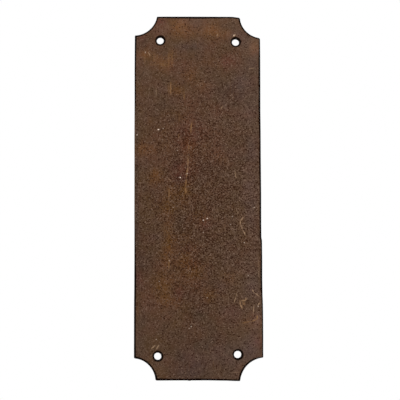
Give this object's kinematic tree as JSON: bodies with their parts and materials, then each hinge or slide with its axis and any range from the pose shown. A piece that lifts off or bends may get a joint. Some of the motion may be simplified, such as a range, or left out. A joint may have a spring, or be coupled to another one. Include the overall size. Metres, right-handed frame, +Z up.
{
  "type": "door finger plate",
  "caption": "Flat rusted sheet-steel finger plate with scooped corners and plain screw holes, fixed upright to a door to take the wear of hands.",
  "frame": {"origin": "middle of the flat back, where the plate lies against the door", "axes": "+Z up the plate as it hangs on the door, +X to the right seen from the front, +Y into the door; the front faces -Y"},
  "size_m": [0.08, 0.0016, 0.231],
  "materials": {
    "rusted_steel": "bare steel sheet under an even, dry, dark brown coat of rust, with ochre stains, pits and scratches"
  },
  "bodies": {
    "root": {"finger_plate": "rusted_steel"}
  },
  "joints": []
}
